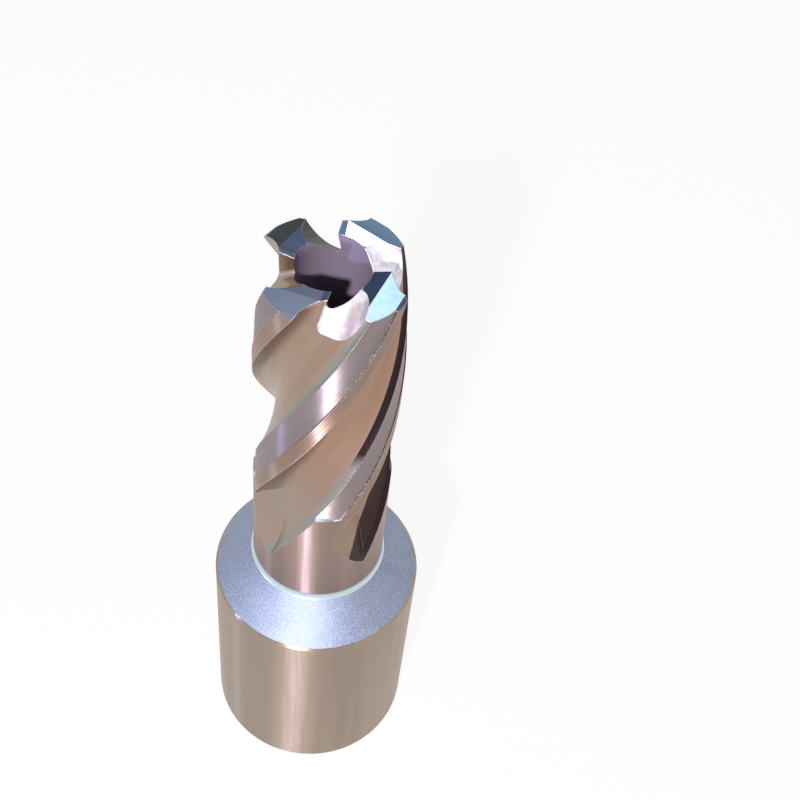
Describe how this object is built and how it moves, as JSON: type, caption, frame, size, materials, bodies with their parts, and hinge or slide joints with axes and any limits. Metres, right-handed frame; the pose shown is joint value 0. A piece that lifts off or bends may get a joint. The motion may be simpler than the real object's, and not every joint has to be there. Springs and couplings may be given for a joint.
{
  "type": "annular cutter",
  "caption": "Solid steel annular cutter with a short ring of gashed teeth, right-hand spiral flutes and a flatted plain shank, bored right through.",
  "frame": {"origin": "centre of the shank's end face", "axes": "+Z along the cutter's axis towards the teeth; +Y points between the two clamping flats"},
  "size_m": [0.019, 0.019, 0.0637],
  "materials": {
    "tool_steel": "ground bright, shoulder face blasted matt"
  },
  "bodies": {
    "root": {"cutter": "tool_steel"}
  },
  "joints": []
}
